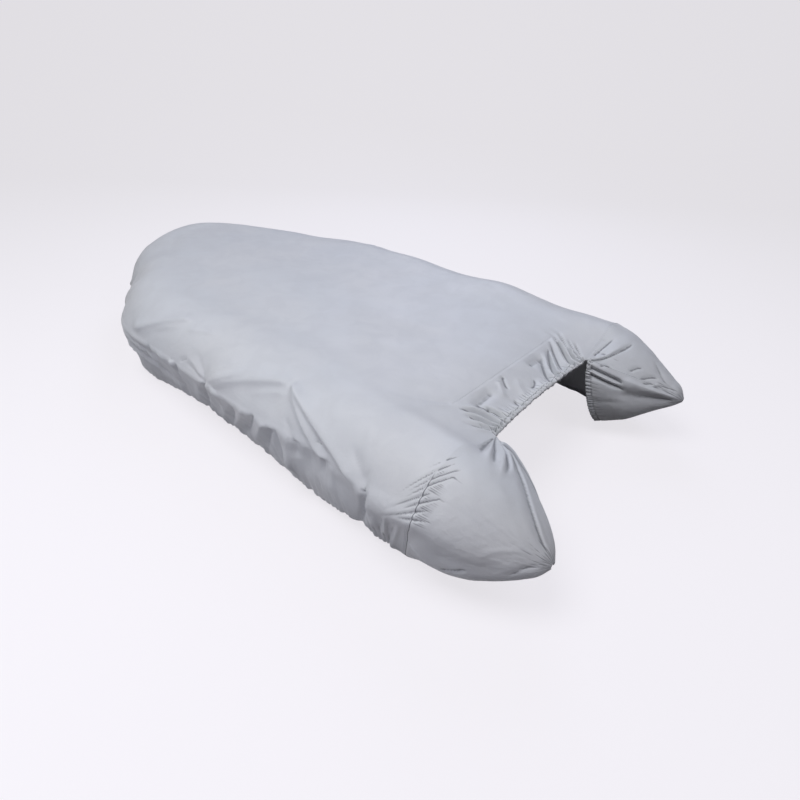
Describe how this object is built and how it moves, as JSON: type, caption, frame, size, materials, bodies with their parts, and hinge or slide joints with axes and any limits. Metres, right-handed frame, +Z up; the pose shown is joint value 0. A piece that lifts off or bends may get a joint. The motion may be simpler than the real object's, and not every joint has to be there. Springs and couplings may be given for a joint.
{
  "type": "boat cover",
  "caption": "Fitted cover for a small inflatable tender: flat top, knuckled sides, tapering tube-end cones and a gathered flap over the transom, of coated grey cloth.",
  "frame": {"origin": "just under the middle of the cover's top, on its middle plane, where the boat holds it up", "axes": "+X forward to the bow, +Y to port, +Z up"},
  "size_m": [2.8355, 1.4889, 0.4504],
  "materials": {
    "cover_cloth": "silver-grey coated polyester, soft satin sheen"
  },
  "bodies": {
    "root": {"main_panel": "cover_cloth", "cone_port": "cover_cloth", "cone_starboard": "cover_cloth", "transom_flap": "cover_cloth"}
  },
  "joints": []
}
